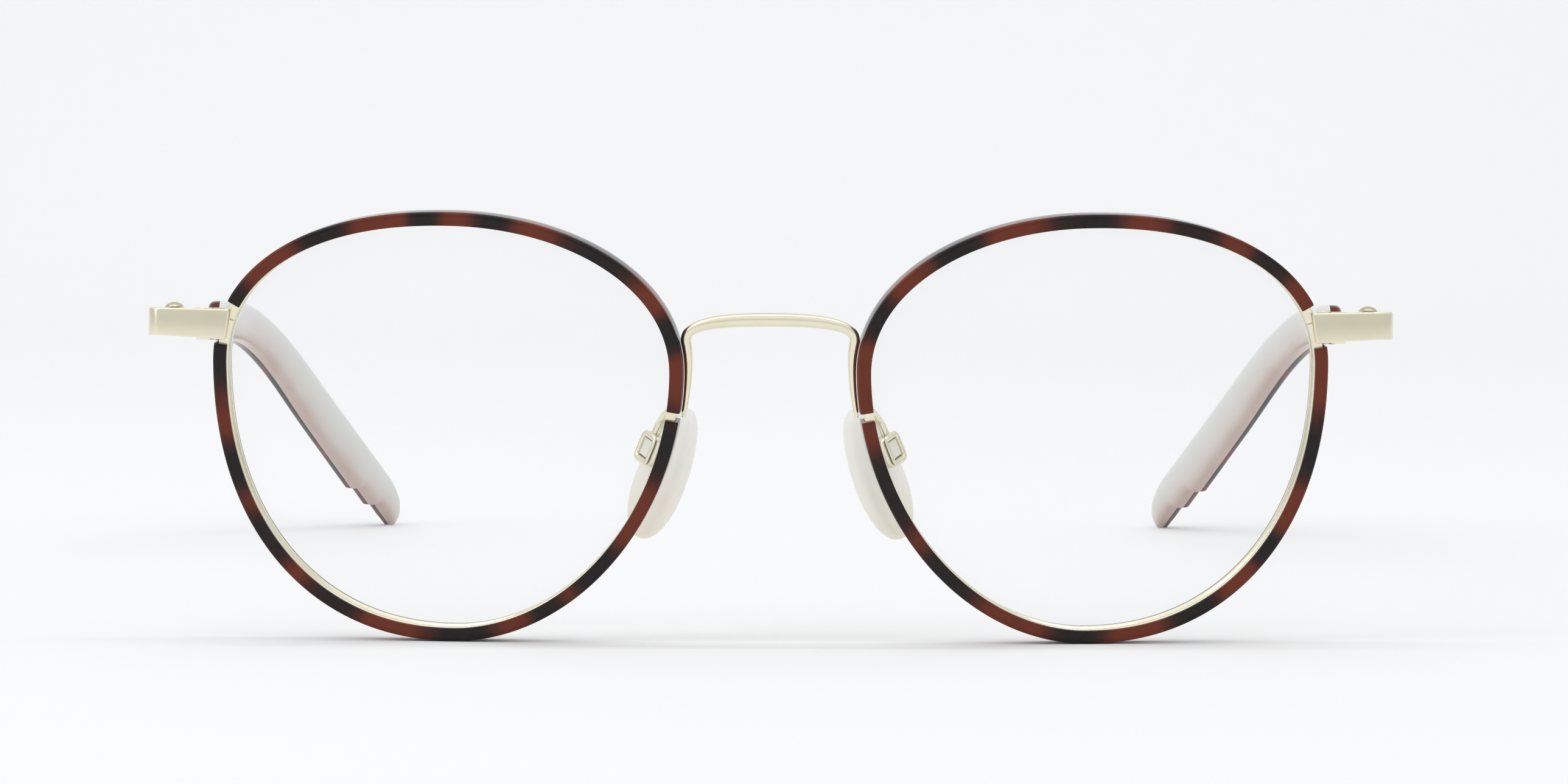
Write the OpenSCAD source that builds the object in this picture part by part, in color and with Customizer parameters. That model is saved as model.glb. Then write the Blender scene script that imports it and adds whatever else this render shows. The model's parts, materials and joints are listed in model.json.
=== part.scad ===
// Round full-rim metal eyeglasses with split acetate rim covers, a saddle bridge,
// snap-in nose pads and laminated acetate temple tips.
// Millimetres. +X is the wearer's left, +Y goes back towards the ears, +Z is up.
// The glasses stand open on the lowest points of the rims and the ends of the tips.

/* [Lens shape] */
// Lens width from the lens centre line to the temple side
lens_out = 24.7; // [24.2:0.1:25.2]
// Lens width from the lens centre line to the nose side
lens_in = 24.4; // [23.8:0.1:24.6]
// Lens height above the widest line
lens_up = 16.2; // [15.6:0.1:16.8]
// Lens height below the widest line
lens_down = 29.2; // [28.4:0.1:29.8]
// Squareness of the upper quarter on the temple side, 2 is an ellipse
square_up_out = 2.21; // [2.15:0.01:2.3]
// Squareness of the upper quarter on the nose side
square_up_in = 2.05; // [2:0.01:2.15]
// Squareness of the lower quarter on the temple side
square_down_out = 2.23; // [2.15:0.01:2.3]
// Squareness of the lower quarter on the nose side
square_down_in = 1.91; // [1.85:0.01:2]
// Lens thickness
lens_thick = 1.8; // [1.4:0.1:1.8]
// Radius of the lens's front and back surface
base_radius = 125; // [110:1:180]

/* [Front] */
// Distance from the middle of the nose to a lens centre line
eye_x = 34.8; // [34.6:0.1:35.2]
// Angle by which each eye turns back towards its temple
face_wrap = 4; // [3:0.5:5]
// Forward lean of the front's top when the glasses stand on a table
front_tilt = 6; // [5:0.5:7]
// Radial thickness of the eyewire outside the lens edge
wire_out = 0.6; // [0.5:0.05:0.6]
// Depth of the eyewire, front to back
wire_depth = 2; // [1.9:0.1:2]
// Depth of an acetate rim cover, front to back
cover_depth = 3; // [2.9:0.1:3.2]
// Radial reach of a rim cover outside the lens edge
cover_out = 1.05; // [1:0.05:1.1]

/* [Bridge and pads] */
// Diameter of the bridge wire in the middle
bridge_d = 1.5; // [1.3:0.1:1.6]
// Height of the bridge's top centre line above the lens centre line
bridge_top = 5.8; // [5:0.1:6.5]
// Length of a nose pad
pad_length = 15.5; // [14:0.5:16]
// Width of a nose pad
pad_width = 8; // [7:0.5:8.5]
// Thickness of a nose pad
pad_thick = 3; // [2.6:0.1:3]
// Outward slant of the pads seen from the front
pad_frontal = 22; // [20:1:24]
// Opening of the pads towards the face seen from above
pad_splay = 33; // [31:1:35]

/* [Temples] */
// Length of a temple from its hinge to the end of the tip
temple_length = 145; // [143:1:147]
// Outward angle of the open temples
temple_splay = 5; // [4:0.5:5.5]
// Downward slope of the temples towards the ears
temple_slope = 2; // [1:0.5:2.5]
// Height of the endpiece and the temple band
band_h = 3; // [2.9:0.05:3.1]
// Thickness of the endpiece and the temple band
band_t = 1; // [0.9:0.05:1]
// Downward angle at the end of the tip
tip_drop = 44.2; // [43:0.1:46]
// Inward angle at the end of the tip
tip_curl = 40; // [34:1:42]
// Distance along the temple where the acetate tip begins
tip_start = 78; // [76:1:80]
// Height of the tip at its mouth
tip_h_mouth = 5.2; // [5:0.1:5.6]
// Height of the tip near its end
tip_h_end = 6.2; // [5.8:0.1:6.6]

/* [Hidden] */

METAL = [0.80, 0.77, 0.66];
SCREW = [0.72, 0.70, 0.62];
TORTOISE = [0.33, 0.13, 0.09];
MILKY = [0.80, 0.81, 0.77];
PAD = [0.93, 0.92, 0.88, 0.8];
CLEAR = [0.85, 0.93, 0.95, 0.3];

gap = 0.04;              // fit clearance between neighbouring pieces
rim_steps = 80;          // rings round a whole rim
cover_step = 5;          // degrees of the rim parameter between a cover's rings
groove = 0.5;            // depth of the lens groove in the eyewire
split_t = 16.6;          // rim parameter of the eyewire's split at the endpiece
split_half = 0.3;        // half of that split, in degrees of the rim parameter
cover_top_t = 22.2;      // temple end of the upper cover
cover_low_t = 7.2;       // temple end of the lower cover
nose_gap_t = 190.1;      // middle of the gap between the covers at the nose
nose_gap_half = 0.95;    // half of that gap, in degrees of the rim parameter

// ---------- Lens outline: four superellipse quarters ----------

function half_w(t) = cos(t) >= 0 ? lens_out : lens_in;
function half_h(t) = sin(t) >= 0 ? lens_up : lens_down;
function squareness(t) = sin(t) >= 0
    ? (cos(t) >= 0 ? square_up_out : square_up_in)
    : (cos(t) >= 0 ? square_down_out : square_down_in);
function signed_pow(v, p) = sign(v) * pow(abs(v), p);

// Point of the lens edge, [towards the temple, up]
function edge_point(t) = let (n = squareness(t))
    [half_w(t) * signed_pow(cos(t), 2 / n), half_h(t) * signed_pow(sin(t), 2 / n)];

// Outward unit normal of the lens edge
function edge_normal(t) = let (
        n = squareness(t),
        g = [signed_pow(cos(t), 2 - 2 / n) / half_w(t), signed_pow(sin(t), 2 - 2 / n) / half_h(t)]
    ) g / norm(g);

// How far a point of the lens lies behind the lens's middle
function sag(p) = (p * p) / (2 * base_radius);

// Point beside the lens edge: u outwards from the edge, v backwards
function rim_point(t, u, v) = let (p = edge_point(t), q = p + u * edge_normal(t))
    [q[0], v + sag(p), q[1]];

// Section of a rim piece at one place, given as [u, v] points
function rim_ring(t, section) = [for (s = section) rim_point(t, s[0], s[1])];

// From the eye's own frame to the front's frame
function eye_to_front(p) = [
    eye_x + p[0] * cos(face_wrap) - p[1] * sin(face_wrap),
    p[0] * sin(face_wrap) + p[1] * cos(face_wrap),
    p[2]
];

// From the front's frame to the standing frame, before the origin is set
function front_to_table(p) = [
    p[0],
    p[1] * cos(front_tilt) - p[2] * sin(front_tilt),
    p[1] * sin(front_tilt) + p[2] * cos(front_tilt)
];

// ---------- Rim covers: rings of a channel that wraps the eyewire from outside ----------

lip_in = -0.44;          // how far the cover's lips reach over the lens
cover_edge = 0.45;       // size of the rounding of the cover's outer edges
lip_edge = 0.13;
cover_section = let (h = cover_depth / 2, w = wire_depth / 2 + gap) [
    [cover_out, cover_edge - h], [cover_out, h - cover_edge],
    [cover_out - lip_edge, h - lip_edge], [cover_out - cover_edge, h],
    [lip_in + lip_edge, h], [lip_in, h - lip_edge], [lip_in, w],
    [wire_out + gap, w], [wire_out + gap, -w],
    [lip_in, -w], [lip_in, lip_edge - h], [lip_in + lip_edge, -h],
    [cover_out - cover_edge, -h], [cover_out - lip_edge, lip_edge - h]
];
function cover_rings(from, to) = let (steps = ceil((to - from) / cover_step))
    [for (i = [0:steps]) rim_ring(from + (to - from) * i / steps, cover_section)];
upper_rings = cover_rings(cover_top_t, nose_gap_t - nose_gap_half);
lower_rings = cover_rings(nose_gap_t + nose_gap_half, 360 + cover_low_t);

// ---------- Temple path: straight, then dropping and curling inwards ----------

path_step = 0.5;
drop_start = 88;
drop_end = 119;
curl_start = 80;
curl_end = 125;
axis_to_band = 1.35;     // hinge axis to the inner face of the band
band_x = axis_to_band + band_t / 2;
butt_gap = 0.05;

function ease(k) = let (c = max(0, min(1, k))) c * c * (3 - 2 * c);
function drop_at(s) = tip_drop * ease((s - drop_start) / (drop_end - drop_start));
function curl_at(s) = tip_curl * ease((s - curl_start) / (curl_end - curl_start));
function path_dir(s) = [
    -sin(curl_at(s)) * cos(drop_at(s)),
    cos(curl_at(s)) * cos(drop_at(s)),
    -sin(drop_at(s))
];
// Outward direction of the temple's side, and its upward direction
function path_side(s) = [cos(curl_at(s)), sin(curl_at(s)), 0];
function path_up(s) = cross(path_side(s), path_dir(s));

path_count = round(temple_length / path_step);
path = [
    for (i = 0, p = [band_x, butt_gap, 0]; i <= path_count;
         p = p + path_step * path_dir((i + 0.5) * path_step), i = i + 1) p
];

// Section of a temple piece after i steps, given as [outwards, up] points
function temple_ring(i, section) = let (s = i * path_step)
    [for (q = section) path[i] + q[0] * path_side(s) + q[1] * path_up(s)];

// From the hinge's frame to the standing frame, before the origin is set
hinge_x = 65.5;
hinge_y = 8.3;
hinge_above = 34.85;     // hinge centre above the table
function hinge_to_table(p) = let (
        x = p[0] * cos(temple_splay) + p[1] * sin(temple_splay),
        y = -p[0] * sin(temple_splay) + p[1] * cos(temple_splay)
    ) [
        hinge_x + x,
        hinge_y + y * cos(temple_slope) + p[2] * sin(temple_slope),
        hinge_above - y * sin(temple_slope) + p[2] * cos(temple_slope)
    ];

// ---------- Temple tip: height and end shape ----------

tip_out = 1.55;          // thickness of the outer acetate layer
tip_in = 1.75;           // thickness of the inner layer
tip_first = round(tip_start / path_step);
tip_nose = 6.5;          // length of the rounded end
tip_foot = 1;            // height left at the very end
step_1 = 10;             // where the first scallop ends, from the end of the tip
step_2 = 5.5;            // where the second scallop ends
step_run = 1;            // length over which a scallop climbs
step_rise = 0.85;

function tip_h(s) = tip_h_mouth
    + (tip_h_end - tip_h_mouth) * (s - tip_start) / (temple_length - tip_start);
// Lower edge, with two scallops near the end
function tip_low(s) = let (left = temple_length - s) -tip_h(s) / 2
    + step_rise * ease((step_1 - left) / step_run)
    + step_rise * ease((step_2 - left) / step_run);
// Upper edge, rounded down to the foot at the end
function tip_high(s) = let (
        left = temple_length - s,
        k = min(1, left / tip_nose),
        foot = tip_low(temple_length) + tip_foot
    ) foot + (tip_h(s) / 2 - foot) * sqrt(1 - (1 - k) * (1 - k));
// Rounding of the thickness at the mouth and at the end
function tip_thin(s) = min(1, 0.6 + 0.4 * sqrt(min(1, (temple_length - s) / 2)))
    * min(1, 0.75 + 0.25 * (s - tip_start) / 1.5);

// Rings lie close together where the end shape changes
tip_rings = concat(
    [tip_first, tip_first + 2, tip_first + 4],
    [for (i = [tip_first + 9:5:path_count - 24]) i],
    [for (i = [path_count - 21:1:path_count]) i]
);

core_h = 1.6;            // height of the metal core inside the tip
core_t = 0.84;           // thickness of that core
core_stop = 9;           // the core ends this far before the end of the tip

// Half of the tip's section with a channel for the core; side is 1 outside, -1 inside
function tip_section(s, side, thick) = let (
        hi = tip_high(s),
        lo = tip_low(s),
        t = thick * tip_thin(s),
        r = min(0.9, t * 0.6, (hi - lo) * 0.3),
        open = 1 - ease((s - (temple_length - core_stop)) / 1.5),
        ch = core_h / 2 * open + 0.06,
        cd = core_t / 2 * open + 0.05,
        f = 0.02
    ) [
        [side * f, ch], [side * f, hi - 0.3 * r], [side * (f + 0.3 * r), hi],
        [side * (t - r), hi], [side * (t - 0.3 * r), hi - 0.3 * r], [side * t, hi - r],
        [side * t, lo + r], [side * (t - 0.3 * r), lo + 0.3 * r], [side * (t - r), lo],
        [side * (f + 0.3 * r), lo], [side * f, lo + 0.3 * r], [side * f, -ch],
        [side * cd, -ch], [side * cd, ch]
    ];
outer_rings = [
    for (i = tip_rings) temple_ring(i, tip_section(i * path_step, 1, tip_out))
];
liner_rings = [
    for (i = tip_rings) temple_ring(i, tip_section(i * path_step, -1, tip_in))
];

// ---------- Origin: on the table, in the middle of the overall depth ----------

cover_points = [
    for (rings = [upper_rings, lower_rings], r = rings, p = r) front_to_table(eye_to_front(p))
];
front_z = -min([for (p = cover_points) p[2]]);
front_most = min([for (p = cover_points) p[1]]);
tip_back = max([for (rings = [outer_rings, liner_rings], r = rings, p = r) hinge_to_table(p)[1]]);
front_y = -(front_most + tip_back) / 2;

// ---------- Placing ----------

module on_front() translate([0, front_y, front_z]) rotate([front_tilt, 0, 0]) children();
module on_eye() on_front() translate([eye_x, 0, 0]) rotate([0, 0, face_wrap]) children();
module on_hinge()
    translate([hinge_x, hinge_y + front_y, hinge_above])
        rotate([-temple_slope, 0, 0])
            rotate([0, 0, -temple_splay])
                children();
module on_pad()
    on_front()
        translate(pad_pos)
            rotate([0, -pad_frontal, 0])
                rotate([0, 0, -pad_splay])
                    children();
module other_side() mirror([1, 0, 0]) children();

// A list in the opposite order
function flip(list) = [for (i = [len(list) - 1:-1:0]) list[i]];

// Joins rings of points into one closed solid; each ring runs clockwise seen from the last one
module skin(rings) {
    n = len(rings[0]);
    m = len(rings);
    sides = [
        for (i = [0:m - 2], j = [0:n - 1])
            let (a = i * n + j, b = i * n + (j + 1) % n)
                each [[a, b, b + n], [a, b + n, a + n]]
    ];
    first = [for (j = [n - 1:-1:0]) j];
    last = [for (j = [0:n - 1]) (m - 1) * n + j];
    polyhedron([for (r = rings) each r], concat([first], sides, [last]), convexity = 10);
}

// Round section of radius r at p, square to the direction d
function round_ring(p, d, r, sides) = let (
        side = cross(d, [0, 1, 0.001]),
        a = side / norm(side),
        b = cross(a, d / norm(d))
    ) [for (k = [0:sides - 1]) p + r * (cos(k * 360 / sides) * a + sin(k * 360 / sides) * b)];

// Direction of a list of points at one of them
function run(points, i) = points[min(i + 1, len(points) - 1)] - points[max(i - 1, 0)];

// ---------- Rims ----------

// Section of the eyewire, with the groove for the lens
wire_section = let (h = wire_depth / 2, c = 0.15) [
    [wire_out, -h + c], [wire_out, h - c], [wire_out - c, h],
    [c - groove, h], [-groove, h - c], [-groove, 0.55],
    [0, 0],
    [-groove, -0.55], [-groove, c - h], [c - groove, -h], [wire_out - c, -h]
];

module eyewire() color(METAL) on_eye() {
    from = split_t + split_half;
    to = split_t + 360 - split_half;
    skin([for (i = [0:rim_steps]) rim_ring(to - (to - from) * i / rim_steps, wire_section)]);
}

module rim_cover(rings) color(TORTOISE) on_eye() skin(flip(rings));
module rim_cover_upper() rim_cover(upper_rings);
module rim_cover_lower() rim_cover(lower_rings);

// Lens surface ring at a fraction k of the outline, v in front of or behind the middle
function lens_ring(k, v) = [
    for (i = [0:rim_steps - 1])
        let (p = k * edge_point(i * 360 / rim_steps)) [p[0], v + sag(p), p[1]]
];
function lens_edge_ring(u, v) = [for (i = [0:rim_steps - 1]) rim_point(i * 360 / rim_steps, u, v)];

module lens() color(CLEAR) on_eye() {
    h = lens_thick / 2;
    shoulder = -groove - 0.07;
    bevel = 0.5;
    flat_ring = [for (p = lens_ring(0.1, 0)) [p[0], 0, p[2]]];
    skin(concat(
        [[for (p = flat_ring) p - [0, h, 0]]],
        [for (k = [0.45, 0.75]) lens_ring(k, -h)],
        [for (v = [-h, -bevel]) lens_edge_ring(shoulder, v)],
        [lens_edge_ring(-0.07, 0)],
        [for (v = [bevel, h]) lens_edge_ring(shoulder, v)],
        [for (k = [0.75, 0.45]) lens_ring(k, h)],
        [[for (p = flat_ring) p + [0, h, 0]]]
    ));
}

// ---------- Endpiece, closing block and hinge, in the hinge's frame ----------

end_rim = [-6.9, -6.66];         // middle of the endpiece's end, seen from above
corner_r = 1.8;                  // outer radius of the endpiece's corner
band_outer = axis_to_band + band_t;

front_dir = atan2(1.37, 7.14);   // direction of the endpiece's front leg
front_normal = [sin(front_dir), -cos(front_dir)];
corner_x = band_outer - corner_r;
corner_y = (front_normal * end_rim + band_t / 2 - corner_r - front_normal[0] * corner_x)
    / front_normal[1];
function corner_arc(r, from, to) = [
    for (k = [0:8]) let (a = from + (to - from) * k / 8)
        [corner_x + r * cos(a), corner_y + r * sin(a)]
];
band_plan = concat(
    [end_rim + front_normal * band_t / 2],
    corner_arc(corner_r, front_dir - 90, 0),
    [[band_outer, -gap], [axis_to_band, -gap]],
    corner_arc(corner_r - band_t, 0, front_dir - 90),
    [end_rim - front_normal * band_t / 2]
);
// Side outline: the end laps over the eyewire's front and follows its slant
band_side = [
    [-6.6, 1.34], [0.6, band_h / 2], [band_outer + 1, band_h / 2],
    [band_outer + 1, -band_h / 2], [0.6, -band_h / 2], [-6, -1.93]
];

// Space the eyewire takes at the endpiece, with the fit clearance
module eyewire_room() on_eye() {
    wide = wire_out + gap;
    deep = wire_depth / 2 + gap;
    room = [[wide, -deep], [wide, deep + 2], [-1, deep + 2], [-1, -deep]];
    skin([for (t = [30:-3:0]) rim_ring(t, room)]);
}

module endpiece() color(METAL) difference() {
    on_hinge() intersection() {
        translate([0, 0, -3]) linear_extrude(6) polygon(band_plan);
        rotate([90, 0, 0]) linear_extrude(20, center = true) polygon(band_side);
    }
    eyewire_room();
}

lock_pos = [-3.95, -4.2];        // axis of the closing block's screw
lock_r = 1.2;
lock_bore = 0.7;
lock_top = 1.5;
lock_low = -1.96;
lock_split = 0.1;                // half of the gap between the two blocks
screw_head_h = 0.5;

// One half of the rim lock, with the web that reaches the eyewire
module closing_half(from, to, web_x) difference() {
    union() {
        translate([lock_pos[0], lock_pos[1], from]) cylinder(r = lock_r, h = to - from, $fn = 48);
        translate([web_x, lock_pos[1] - 0.95, from])
            cube([lock_pos[0] - web_x, 1.5, to - from]);
    }
    translate([lock_pos[0], lock_pos[1], from - 1])
        cylinder(r = lock_bore, h = to - from + 2, $fn = 48);
}
module closing_block_upper() color(METAL) on_hinge() closing_half(lock_split, lock_top, -5.9);
module closing_block_lower() color(METAL) on_hinge() difference() {
    closing_half(lock_low, -lock_split, -5.36);
    translate([lock_pos[0], lock_pos[1], lock_low - 1])
        cylinder(r = 0.99, h = 1 + screw_head_h + gap, $fn = 48);
}

module rim_screw() color(SCREW) on_hinge() translate([lock_pos[0], lock_pos[1], 0])
    difference() {
        union() {
            translate([0, 0, lock_low]) cylinder(r = 0.95, h = screw_head_h, $fn = 48);
            translate([0, 0, lock_low]) cylinder(r = lock_bore - gap, h = lock_top - lock_low, $fn = 48);
        }
        translate([-2, -0.15, lock_low - 1]) cube([4, 0.3, 1.25]);
    }

knuckle_h = 0.58;                // half-height of the middle knuckle
barrel_h = 1.5;                  // half-height of the whole barrel
barrel_r = 1.2;
leaf_x = axis_to_band - 0.02;    // the hinge leaves lie against the band
barrel_bore = 0.66;
pin_r = 0.62;

module front_hinge() color(METAL) on_hinge() difference() {
    union() {
        for (z = [-barrel_h, knuckle_h + gap]) translate([0, 0, z]) {
            cylinder(r = barrel_r, h = barrel_h - knuckle_h - gap, $fn = 48);
            translate([0, -2.6, 0]) cube([leaf_x, 2.6, barrel_h - knuckle_h - gap]);
        }
        translate([leaf_x - 0.4, -2.6, -barrel_h]) cube([0.4, 1.4, 2 * barrel_h]);
    }
    translate([0, 0, -3]) cylinder(r = barrel_bore, h = 6, $fn = 48);
}

module temple_hinge() color(METAL) on_hinge() difference() {
    union() {
        translate([0, 0, -knuckle_h]) cylinder(r = barrel_r, h = 2 * knuckle_h, $fn = 48);
        translate([0, 0, -knuckle_h]) cube([leaf_x, 2, 2 * knuckle_h]);
        translate([leaf_x - 0.55, 1.3, -1.15]) cube([0.55, 6.2, 2.3]);
    }
    translate([0, 0, -3]) cylinder(r = barrel_bore, h = 6, $fn = 48);
}

head_r = 1;
head_h = 0.6;
dome_r = 1.3;                    // sphere radius of the screw's domed head
slot_w = 0.28;
module hinge_screw() color(SCREW) on_hinge() difference() {
    union() {
        translate([0, 0, -barrel_h]) cylinder(r = pin_r, h = 2 * barrel_h + gap, $fn = 48);
        intersection() {
            translate([0, 0, barrel_h + gap]) cylinder(r = head_r, h = head_h, $fn = 48);
            translate([0, 0, barrel_h + gap + head_h - dome_r]) sphere(r = dome_r, $fn = 64);
        }
    }
    translate([-2, -slot_w / 2, barrel_h + gap + head_h - 0.33]) cube([4, slot_w, 1]);
}

// ---------- Bridge ----------

leg_top_t = 170;                 // where the wire leaves the upper rim cover
leg_steps = 6;
arch_steps = 14;
arch_square = 2.6;
arch_forward = 0.9;              // the arch's middle lies this far in front of its legs
leg_r = 0.56;
foot_r = 0.26;
function leg_radius(k) = leg_r + (foot_r - leg_r) * k;
function leg_point(k) = let (r = leg_radius(k), t = leg_top_t + (nose_gap_t - leg_top_t) * k)
    eye_to_front(rim_point(t, cover_out + gap + r, 0));
leg_top = leg_point(0);
function arch_point(a) = [
    leg_top[0] * pow(sin(a), 2 / arch_square),
    leg_top[1] - arch_forward * pow(cos(a), 2),
    leg_top[2] + (bridge_top - leg_top[2]) * pow(cos(a), 2 / arch_square)
];
half_bridge = concat(
    [for (k = [0:arch_steps]) arch_point(90 * k / arch_steps)],
    [for (k = [1:leg_steps]) leg_point(k / leg_steps)]
);
half_radii = concat(
    [for (k = [0:arch_steps]) bridge_d / 2 + (leg_r - bridge_d / 2) * ease(k / arch_steps)],
    [for (k = [1:leg_steps]) leg_radius(k / leg_steps)]
);
last_bridge = len(half_bridge) - 1;
bridge_line = concat(
    [for (i = [last_bridge:-1:1]) [-half_bridge[i][0], half_bridge[i][1], half_bridge[i][2]]],
    half_bridge
);
bridge_radii = concat([for (i = [last_bridge:-1:1]) half_radii[i]], half_radii);

module bridge() color(METAL) on_front() {
    skin([
        for (i = [0:len(bridge_line) - 1])
            round_ring(bridge_line[i], run(bridge_line, i), bridge_radii[i], 12)
    ]);
}

// ---------- Nose pads ----------

pad_pos = [11.8, 7.6, -12.4];    // middle of the left pad, in the front's frame
box_x = 2.95;                    // middle of the pad box in front of the pad
box_z = 2.24;                    // and above the pad's middle
box_depth = 1.5;
box_w = 3;
box_h = 3.6;
window_w = 1.9;
window_h = 2.2;
stem_w = 1.8;
stem_h = 1.9;

// From the pad's frame to the front's frame
function pad_to_front(p) = let (
        x = p[0] * cos(pad_splay) + p[1] * sin(pad_splay),
        y = -p[0] * sin(pad_splay) + p[1] * cos(pad_splay)
    ) pad_pos + [
        x * cos(pad_frontal) - p[2] * sin(pad_frontal),
        y,
        x * sin(pad_frontal) + p[2] * cos(pad_frontal)
    ];

arm_root = eye_to_front(rim_point(nose_gap_t, -0.1, wire_depth / 2 + 0.02));
arm_end = pad_to_front([box_x, 0, box_z + box_h / 2 + 0.02]);
arm_into = arm_end - pad_to_front([box_x, 0, box_z + box_h / 2 + 2.2]);
function arm_point(k) = let (a = arm_root, b = arm_root + [0.1, 1.9, 0.2], c = arm_end - arm_into)
    pow(1 - k, 3) * a + 3 * k * pow(1 - k, 2) * b + 3 * k * k * (1 - k) * c + k * k * k * arm_end;
arm_steps = 10;
arm_line = [for (k = [0:arm_steps]) arm_point(k / arm_steps)];

module pad_arm() color(METAL) on_front() skin([
    for (i = [0:arm_steps]) round_ring(
        arm_line[i],
        i == 0 ? [0, 1, 0] : i == arm_steps ? arm_into : run(arm_line, i),
        0.34 + 0.14 * ease(i / arm_steps * 3), 10)
]);

// Flat ring with rounded corners that the pad's stem snaps into
module rounded_plate(w, h, r) {
    square([w - 2 * r, h], center = true);
    square([w, h - 2 * r], center = true);
    for (x = [r - w / 2, w / 2 - r], y = [r - h / 2, h / 2 - r])
        translate([x, y]) circle(r = r, $fn = 32);
}
module pad_box() color(METAL) on_pad()
    translate([box_x - box_depth / 2, 0, box_z]) rotate([90, 0, 90])
        linear_extrude(box_depth) difference() {
            rounded_plate(box_w, box_h, 0.7);
            rounded_plate(window_w, window_h, 0.3);
        }

// Pad outline at a fraction k of its full size, x through the thickness
function pad_ring(x, k) = [
    for (a = [0:12:359])
        [x, k * pad_width / 2 * cos(a) * (1 - 0.14 * sin(a)), k * pad_length / 2 * sin(a)]
];
// [fraction of the thickness, fraction of the outline] from the box side to the face side
pad_profile = [
    [0.5, 0.4], [0.48, 0.7], [0.4, 0.86], [0.22, 0.97], [0, 1],
    [-0.2, 0.96], [-0.38, 0.83], [-0.47, 0.62], [-0.5, 0.35]
];
module nose_pad() color(PAD) on_pad()
    skin([for (q = pad_profile) pad_ring(q[0] * pad_thick, q[1])]);

module pad_stem() color(MILKY) on_pad() translate([pad_thick / 2 + 0.02, 0, box_z]) {
    translate([0, -stem_w / 2, -stem_h / 2]) cube([1.9, stem_w, stem_h]);
    translate([0, -1.5, -1.5]) cube([0.25, 3, 3]);
}

// ---------- Temples ----------

function box_section(w, h, c) = [
    [w / 2, c - h / 2], [w / 2, h / 2 - c], [w / 2 - c, h / 2], [c - w / 2, h / 2],
    [-w / 2, h / 2 - c], [-w / 2, c - h / 2], [c - w / 2, -h / 2], [w / 2 - c, -h / 2]
];
taper = 5;               // length over which the band narrows to the core
core_last = round((temple_length - core_stop) / path_step);
taper_first = round((tip_start - taper - 1) / path_step);
taper_last = tip_first - 2;
shaft_rings = concat([0], [taper_first], [taper_last],
    [for (i = [tip_first + 4:6:core_last]) i]);
// 1 where the band is full, 0 where only the core is left
function band_left(i) = 1 - ease((i - taper_first) / (taper_last - taper_first));

module temple_shaft() color(METAL) on_hinge() skin([
    for (i = shaft_rings) temple_ring(i, box_section(
        core_t + (band_t - core_t) * band_left(i),
        core_h + (band_h - core_h) * band_left(i),
        0.2))
]);

module tip_outer() color(TORTOISE) on_hinge() skin([for (r = outer_rings) flip(r)]);
module tip_liner() color(MILKY) on_hinge() skin(liner_rings);

// ---------- Both sides ----------

module left_eyewire() eyewire();
module right_eyewire() other_side() eyewire();
module left_rim_cover_upper() rim_cover_upper();
module right_rim_cover_upper() other_side() rim_cover_upper();
module left_rim_cover_lower() rim_cover_lower();
module right_rim_cover_lower() other_side() rim_cover_lower();
module left_lens() lens();
module right_lens() other_side() lens();
module left_endpiece() endpiece();
module right_endpiece() other_side() endpiece();
module left_closing_block_upper() closing_block_upper();
module right_closing_block_upper() other_side() closing_block_upper();
module left_closing_block_lower() closing_block_lower();
module right_closing_block_lower() other_side() closing_block_lower();
module left_rim_screw() rim_screw();
module right_rim_screw() other_side() rim_screw();
module left_front_hinge() front_hinge();
module right_front_hinge() other_side() front_hinge();
module left_hinge_screw() hinge_screw();
module right_hinge_screw() other_side() hinge_screw();
module left_pad_arm() pad_arm();
module right_pad_arm() other_side() pad_arm();
module left_pad_box() pad_box();
module right_pad_box() other_side() pad_box();
module left_nose_pad() nose_pad();
module right_nose_pad() other_side() nose_pad();
module left_pad_stem() pad_stem();
module right_pad_stem() other_side() pad_stem();
module left_temple_hinge() temple_hinge();
module right_temple_hinge() other_side() temple_hinge();
module left_temple_shaft() temple_shaft();
module right_temple_shaft() other_side() temple_shaft();
module left_tip_outer() tip_outer();
module right_tip_outer() other_side() tip_outer();
module left_tip_liner() tip_liner();
module right_tip_liner() other_side() tip_liner();

bridge();
right_eyewire();
left_eyewire();
right_rim_cover_upper();
left_rim_cover_upper();
right_rim_cover_lower();
left_rim_cover_lower();
right_lens();
left_lens();
right_endpiece();
left_endpiece();
right_closing_block_upper();
left_closing_block_upper();
right_closing_block_lower();
left_closing_block_lower();
right_rim_screw();
left_rim_screw();
right_front_hinge();
left_front_hinge();
right_hinge_screw();
left_hinge_screw();
right_pad_arm();
left_pad_arm();
right_pad_box();
left_pad_box();
right_nose_pad();
left_nose_pad();
right_pad_stem();
left_pad_stem();
right_temple_hinge();
left_temple_hinge();
right_temple_shaft();
left_temple_shaft();
right_tip_outer();
left_tip_outer();
right_tip_liner();
left_tip_liner();
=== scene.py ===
"""Round full-rim eyeglasses with split tortoise rim covers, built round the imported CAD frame.

Shapes are worked out in millimetres from the same driving dimensions as the CAD model.
The wearer's-left piece is shaped first; the right one is its mirror image.
"""

import json
import math

import bpy
import numpy as np
from mathutils import Matrix, Vector

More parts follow.
